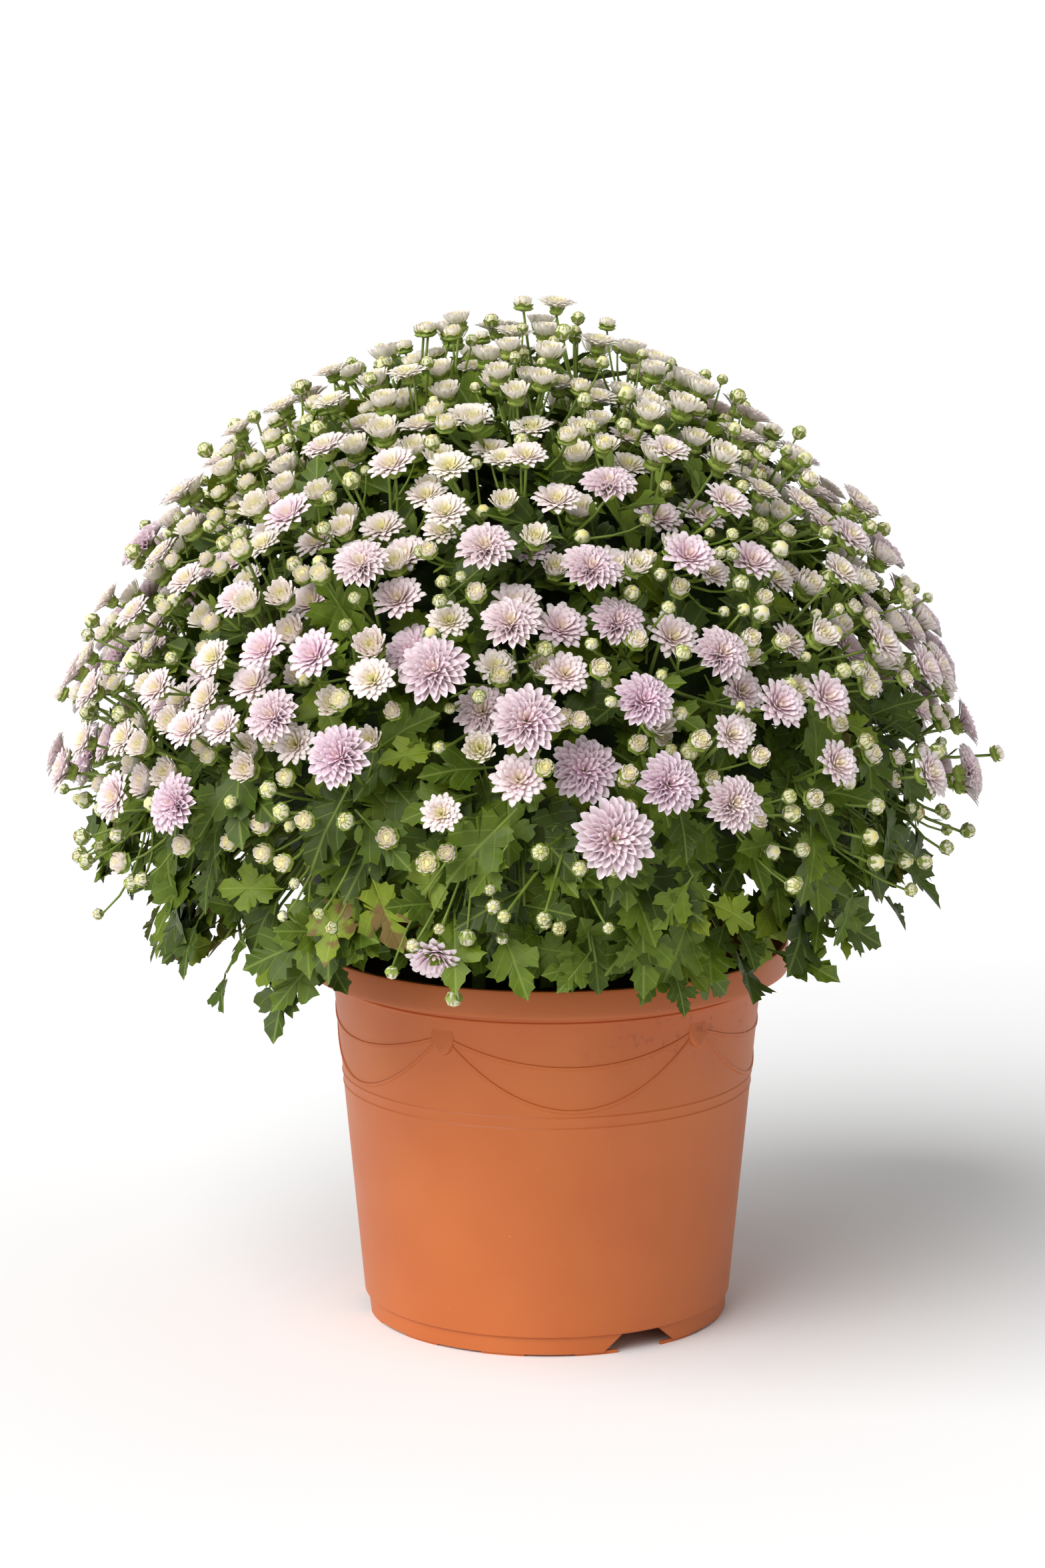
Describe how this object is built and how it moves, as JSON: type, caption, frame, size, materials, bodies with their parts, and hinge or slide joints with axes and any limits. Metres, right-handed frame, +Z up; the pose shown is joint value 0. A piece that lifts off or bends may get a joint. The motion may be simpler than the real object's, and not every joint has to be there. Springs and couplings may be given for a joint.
{
  "type": "pot chrysanthemum",
  "caption": "Bushy garden chrysanthemum in full flower, a dome of small lilac double blooms, buds and lobed leaves, growing in a round moulded plastic growers' pot.",
  "frame": {"origin": "on the ground under the middle of the whole plant's bounding box; the pot's own axis stands 8 mm to the +X side of it", "axes": "+Z up, -Y the front that the best side of the pot's ornament faces, +X to the right seen from the front"},
  "size_m": [0.4562, 0.4398, 0.4859],
  "materials": {
    "moulded_plastic": "satin",
    "potting_mix": "matt, moist",
    "foliage": "satin",
    "flowers": "matt"
  },
  "bodies": {
    "root": {"pot": "moulded_plastic", "potting_mix": "potting_mix", "leafy_stem_1": "foliage", "leafy_stem_2": "foliage", "leafy_stem_3": "foliage", "leafy_stem_4": "foliage", "leafy_stem_5": "foliage", "leafy_stem_6": "foliage", "leafy_stem_7": "foliage", "leafy_stem_8": "foliage", "flower_spray_1": "flowers", "flower_spray_2": "flowers", "flower_spray_3": "flowers", "flower_spray_4": "flowers", "flower_spray_5": "flowers", "flower_spray_6": "flowers", "flower_spray_7": "flowers", "flower_spray_8": "flowers", "flower_spray_9": "flowers", "flower_spray_10": "flowers", "flower_spray_11": "flowers", "flower_spray_12": "flowers", "flower_spray_13": "flowers", "flower_spray_14": "flowers", "flower_spray_15": "flowers", "flower_spray_16": "flowers", "flower_spray_17": "flowers", "flower_spray_18": "flowers", "flower_spray_19": "flowers", "flower_spray_20": "flowers", "flower_spray_21": "flowers", "flower_spray_22": "flowers", "flower_spray_23": "flowers", "flower_spray_24": "flowers", "flower_spray_25": "flowers", "flower_spray_26": "flowers", "flower_spray_27": "flowers", "flower_spray_28": "flowers", "flower_spray_29": "flowers", "flower_spray_30": "flowers", "flower_spray_31": "flowers", "flower_spray_32": "flowers", "flower_spray_33": "flowers", "flower_spray_34": "flowers", "flower_spray_35": "flowers", "flower_spray_36": "flowers", "flower_spray_37": "flowers", "flower_spray_38": "flowers", "flower_spray_39": "flowers", "flower_spray_40": "flowers", "flower_spray_41": "flowers", "flower_spray_42": "flowers", "flower_spray_43": "flowers", "flower_spray_44": "flowers", "flower_spray_45": "flowers", "flower_spray_46": "flowers", "flower_spray_47": "flowers", "flower_spray_48": "flowers"}
  },
  "joints": []
}
